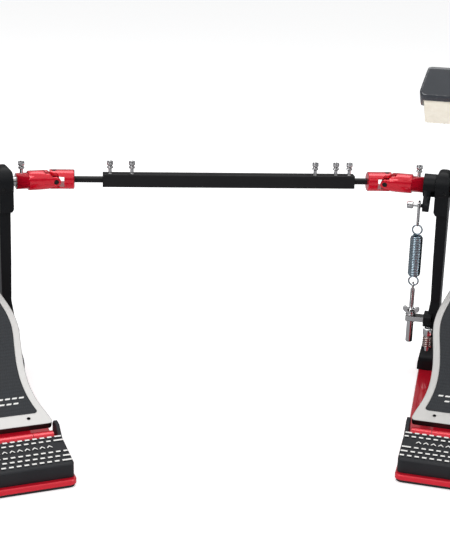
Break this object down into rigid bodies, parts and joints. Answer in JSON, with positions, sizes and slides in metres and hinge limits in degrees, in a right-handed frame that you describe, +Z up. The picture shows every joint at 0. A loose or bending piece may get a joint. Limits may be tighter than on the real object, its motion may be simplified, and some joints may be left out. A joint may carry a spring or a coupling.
{
  "type": "bass drum pedal",
  "caption": "Double bass drum pedal: a slave pedal drives a second beater on the primary pedal through a telescopic shaft with universal joints.",
  "frame": {"origin": "on the floor, under the middle of the whole object's box", "axes": "+X to the right along the linkage from the slave pedal to the primary pedal, +Y from the player towards the drum, +Z up"},
  "size_m": [0.6692, 0.3732, 0.3326],
  "materials": {
    "rubber": "matt black ribbed rubber",
    "red_metal": "gloss red anodised or painted metal",
    "black_casting": "satin black powder coat on cast metal",
    "board_casting": "satin tumbled cast aluminium",
    "grip": "fine-textured dark grey grip",
    "chrome_hardware": "bright chrome plate",
    "spring_steel": "blue-white zinc plate",
    "chain_steel": "nickel-plated steel chain",
    "axle_steel": "ground steel",
    "black_steel": "satin black finish on steel",
    "moulded_black": "polished black plastic",
    "felt": "pressed cream wool felt"
  },
  "bodies": {
    "root": {"primary_base_mat": "rubber", "primary_base_plate": "red_metal", "primary_frame": "black_casting", "primary_bearings": "axle_steel", "primary_heel_plate": "black_casting", "primary_hinge_base": "red_metal", "spring_brackets": "chrome_hardware", "main_eye_rod": "chrome_hardware", "second_eye_rod": "chrome_hardware"},
    "primary_spurs": {"primary_floor_spurs": "chrome_hardware"},
    "primary_board": {"primary_footboard": "board_casting", "primary_grip_insert": "grip", "primary_hinge_leaf": "red_metal"},
    "primary_chain": {"primary_chain_run": "chain_steel"},
    "main_swing": {"main_axle": "axle_steel", "primary_sprocket": "red_metal", "primary_chain_wrap": "chain_steel", "main_beater_hub": "black_casting", "main_rocker": "black_casting"},
    "main_rod": {"main_beater_rod": "chrome_hardware"},
    "main_head": {"main_beater_head": "moulded_black", "main_beater_felt": "felt"},
    "second_swing": {"second_axle": "axle_steel", "second_beater_hub": "black_casting", "second_rocker": "black_casting", "primary_inner_yoke": "red_metal"},
    "second_rod": {"second_beater_rod": "chrome_hardware"},
    "second_head": {"second_beater_head": "moulded_black", "second_beater_felt": "felt"},
    "main_spring": {"main_spring_coil": "spring_steel"},
    "main_hook": {"main_spring_hook": "chrome_hardware"},
    "second_spring": {"second_spring_coil": "spring_steel"},
    "second_hook": {"second_spring_hook": "chrome_hardware"},
    "main_nuts": {"main_spring_nuts": "chrome_hardware"},
    "second_nuts": {"second_spring_nuts": "chrome_hardware"},
    "primary_cross": {"primary_joint_cross": "black_steel"},
    "tube": {"link_tube": "black_steel", "tube_key_screws": "chrome_hardware", "primary_shaft": "black_steel", "primary_outer_yoke": "red_metal"},
    "slave_stand": {"slave_base_mat": "rubber", "slave_base_plate": "red_metal", "slave_frame": "black_casting", "slave_bearings": "axle_steel", "slave_heel_plate": "black_casting", "slave_hinge_base": "red_metal"},
    "slave_spurs": {"slave_floor_spurs": "chrome_hardware"},
    "slave_swing": {"slave_axle": "axle_steel", "slave_sprocket": "red_metal", "slave_chain_wrap": "chain_steel", "slave_inner_yoke": "red_metal"},
    "slave_cross": {"slave_joint_cross": "black_steel"},
    "slave_link": {"slave_shaft": "black_steel", "slave_outer_yoke": "red_metal"},
    "slave_board": {"slave_footboard": "board_casting", "slave_grip_insert": "grip", "slave_hinge_leaf": "red_metal"},
    "slave_chain": {"slave_chain_run": "chain_steel"},
    "clamp_jaw": {"hoop_clamp_jaw": "black_casting"},
    "clamp_bolt": {"hoop_clamp_bolt": "chrome_hardware"}
  },
  "joints": [
    {"name": "main_beater_swing", "type": "hinge", "parent": "root", "child": "main_swing", "pos_m": [0.26495, 0.09715, 0.1966], "axis": [-0.9373, 0.3486, 0], "range_deg": [0, 57], "stiffness_Nm_per_rad": 0.6, "springref_deg": -5.73},
    {"name": "second_beater_swing", "type": "hinge", "parent": "root", "child": "second_swing", "pos_m": [0.26495, 0.09715, 0.1966], "axis": [-0.9373, 0.3486, 0], "range_deg": [0, 57], "stiffness_Nm_per_rad": 0.6, "springref_deg": -5.73},
    {"name": "primary_board_press", "type": "hinge", "parent": "root", "child": "primary_board", "pos_m": [0.18513, -0.11749, 0.02], "axis": [-0.9373, 0.3486, 0], "range_deg": [-0.5, 7]},
    {"name": "primary_chain_swing", "type": "hinge", "parent": "primary_board", "child": "primary_chain", "pos_m": [0.26984, 0.1103, 0.13503], "axis": [-0.9373, 0.3486, 0], "range_deg": [-14, 1]},
    {"name": "main_rod_height", "type": "slide", "parent": "main_swing", "child": "main_rod", "axis": [-0.259, -0.6965, 0.6691], "range_m": [-0.018, 0.01]},
    {"name": "main_head_turn", "type": "hinge", "parent": "main_rod", "child": "main_head", "pos_m": [0.25931, -0.01326, 0.30366], "axis": [-0.259, -0.6965, 0.6691], "range_deg": [0, 180]},
    {"name": "second_rod_height", "type": "slide", "parent": "second_swing", "child": "second_rod", "axis": [-0.259, -0.6965, 0.6691], "range_m": [-0.018, 0.01]},
    {"name": "second_head_turn", "type": "hinge", "parent": "second_rod", "child": "second_head", "pos_m": [0.19708, 0.00988, 0.30366], "axis": [-0.259, -0.6965, 0.6691], "range_deg": [0, 180]},
    {"name": "main_spring_swing", "type": "hinge", "parent": "root", "child": "main_spring", "pos_m": [0.32252, 0.05974, 0.091], "axis": [-0.9373, 0.3486, 0], "range_deg": [-8, 2]},
    {"name": "main_spring_stretch", "type": "slide", "parent": "main_spring", "child": "main_hook", "axis": [-0.0082, -0.022, 0.9997], "range_m": [-0.001, 0.026], "deforming": ["main_spring_coil"]},
    {"name": "main_spring_nut_turn", "type": "hinge", "parent": "root", "child": "main_nuts", "pos_m": [0.32252, 0.05974, 0.06], "axis": [0, 0, 1], "continuous": true},
    {"name": "second_spring_swing", "type": "hinge", "parent": "root", "child": "second_spring", "pos_m": [0.19693, 0.10644, 0.091], "axis": [-0.9373, 0.3486, 0], "range_deg": [-8, 2]},
    {"name": "second_spring_stretch", "type": "slide", "parent": "second_spring", "child": "second_hook", "axis": [-0.0082, -0.022, 0.9997], "range_m": [-0.001, 0.026], "deforming": ["second_spring_coil"]},
    {"name": "second_spring_nut_turn", "type": "hinge", "parent": "root", "child": "second_nuts", "pos_m": [0.19693, 0.10644, 0.06], "axis": [0, 0, 1], "continuous": true},
    {"name": "primary_spur_screw", "type": "slide", "parent": "root", "child": "primary_spurs", "axis": [0, 0, 1], "range_m": [-0.0068, 0]},
    {"name": "primary_cross_turn", "type": "hinge", "parent": "second_swing", "child": "primary_cross", "pos_m": [0.16682, 0.13364, 0.1966], "axis": [-0.3452, -0.9282, -0.1392], "range_deg": [-3, 23]},
    {"name": "tube_turn", "type": "hinge", "parent": "root", "child": "tube", "pos_m": [0.16682, 0.13364, 0.1966], "axis": [-1, 0, 0], "range_deg": [-2, 63]},
    {"name": "linkage_length", "type": "slide", "parent": "root", "child": "slave_stand", "axis": [1, 0, 0], "range_m": [-0.045, 0.026]},
    {"name": "slave_axle_swing", "type": "hinge", "parent": "slave_stand", "child": "slave_swing", "pos_m": [-0.27063, 0.10585, 0.1966], "axis": [-0.9583, -0.2857, 0], "range_deg": [-2, 61]},
    {"name": "slave_link_turn", "type": "hinge", "parent": "slave_stand", "child": "slave_link", "pos_m": [-0.17738, 0.13364, 0.1966], "axis": [-1, 0, 0], "range_deg": [-2, 63]},
    {"name": "slave_cross_turn", "type": "hinge", "parent": "slave_swing", "child": "slave_cross", "pos_m": [-0.17738, 0.13364, 0.1966], "axis": [0.2829, -0.949, -0.1392], "range_deg": [-19, 3]},
    {"name": "slave_board_press", "type": "hinge", "parent": "slave_stand", "child": "slave_board", "pos_m": [-0.2052, -0.11361, 0.02], "axis": [-0.9583, -0.2857, 0], "range_deg": [-0.5, 7]},
    {"name": "slave_chain_swing", "type": "hinge", "parent": "slave_board", "child": "slave_chain", "pos_m": [-0.27463, 0.11929, 0.13503], "axis": [-0.9583, -0.2857, 0], "range_deg": [-14, 1]},
    {"name": "slave_spur_screw", "type": "slide", "parent": "slave_stand", "child": "slave_spurs", "axis": [0, 0, 1], "range_m": [-0.0068, 0]},
    {"name": "hoop_clamp_close", "type": "hinge", "parent": "root", "child": "clamp_jaw", "pos_m": [0.28151, 0.14167, 0.025], "axis": [-0.9373, 0.3486, 0], "range_deg": [-6, 6]},
    {"name": "hoop_clamp_screw", "type": "slide", "parent": "root", "child": "clamp_bolt", "axis": [0, 0, -1], "range_m": [-0.0016, 0.0016]}
  ],
  "couplings": [
    {"joint": "primary_board_press", "follows": "main_beater_swing", "ratio": 0.10666},
    {"joint": "primary_chain_swing", "follows": "main_beater_swing", "ratio": -0.225},
    {"joint": "main_spring_swing", "follows": "main_beater_swing", "ratio": -0.0853},
    {"joint": "main_spring_stretch", "follows": "main_beater_swing", "m_per_rad": 0.023141},
    {"joint": "second_spring_swing", "follows": "second_beater_swing", "ratio": -0.0853},
    {"joint": "second_spring_stretch", "follows": "second_beater_swing", "m_per_rad": 0.023141},
    {"joint": "primary_cross_turn", "follows": "second_beater_swing", "ratio": 0.33942},
    {"joint": "tube_turn", "follows": "second_beater_swing", "ratio": 1.0482},
    {"joint": "slave_link_turn", "follows": "second_beater_swing", "ratio": 1.0482},
    {"joint": "slave_axle_swing", "follows": "second_beater_swing", "ratio": 1.0164},
    {"joint": "slave_cross_turn", "follows": "second_beater_swing", "ratio": -0.27345},
    {"joint": "slave_board_press", "follows": "second_beater_swing", "ratio": 0.10841},
    {"joint": "slave_chain_swing", "follows": "second_beater_swing", "ratio": -0.22869},
    {"joint": "hoop_clamp_screw", "follows": "hoop_clamp_close", "m_per_rad": 0.0135}
  ]
}
